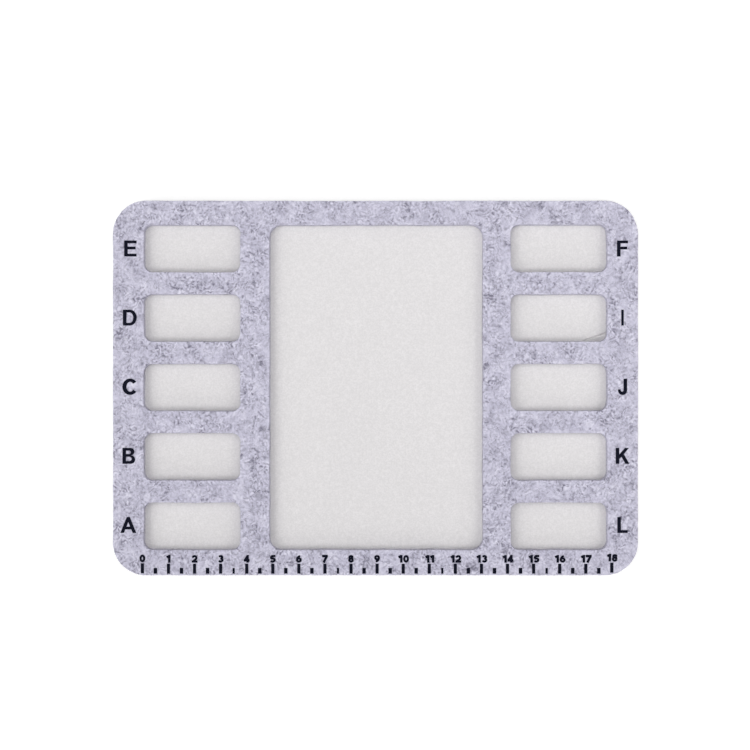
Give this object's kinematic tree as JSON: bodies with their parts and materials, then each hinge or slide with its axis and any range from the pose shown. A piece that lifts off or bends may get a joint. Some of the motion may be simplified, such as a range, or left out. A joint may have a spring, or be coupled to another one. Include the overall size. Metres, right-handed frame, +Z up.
{
  "type": "bead board",
  "caption": "Flat felt bead board with a large centre tray, a column of small tray windows on each side, index letters and a printed ruler, on a soft pale bead mat.",
  "frame": {"origin": "middle of the underside, on the surface that the board lies on", "axes": "+X along the ruler from 0 to its end, +Y from the ruler edge to the plain edge, +Z up out of the windows"},
  "size_m": [0.2012, 0.1434, 0.0064],
  "materials": {
    "felt": "matte marled needle felt, pale grey with a lavender cast and darker fibres",
    "mat": "matte off-white bead mat with a short dense nap",
    "adhesive": "thin milky hot-melt film",
    "film": "satin blue-black heat-transfer film"
  },
  "bodies": {
    "root": {"felt_frame": "felt", "bead_mat": "mat", "adhesive_film": "adhesive", "letter_A": "film", "letter_B": "film", "letter_C": "film", "letter_D": "film", "letter_E": "film", "letter_F": "film", "letter_I": "film", "letter_J": "film", "letter_K": "film", "letter_L": "film", "ruler_tick_0": "film", "ruler_tick_1": "film", "ruler_tick_2": "film", "ruler_tick_3": "film", "ruler_tick_4": "film", "ruler_tick_5": "film", "ruler_tick_6": "film", "ruler_tick_7": "film", "ruler_tick_8": "film", "ruler_tick_9": "film", "ruler_tick_10": "film", "ruler_tick_11": "film", "ruler_tick_12": "film", "ruler_tick_13": "film", "ruler_tick_14": "film", "ruler_tick_15": "film", "ruler_tick_16": "film", "ruler_tick_17": "film", "ruler_tick_18": "film", "ruler_half_tick_0": "film", "ruler_half_tick_1": "film", "ruler_half_tick_2": "film", "ruler_half_tick_3": "film", "ruler_half_tick_4": "film", "ruler_half_tick_5": "film", "ruler_half_tick_6": "film", "ruler_half_tick_7": "film", "ruler_half_tick_8": "film", "ruler_half_tick_9": "film", "ruler_half_tick_10": "film", "ruler_half_tick_11": "film", "ruler_half_tick_12": "film", "ruler_half_tick_13": "film", "ruler_half_tick_14": "film", "ruler_half_tick_15": "film", "ruler_half_tick_16": "film", "ruler_half_tick_17": "film"}
  },
  "joints": []
}
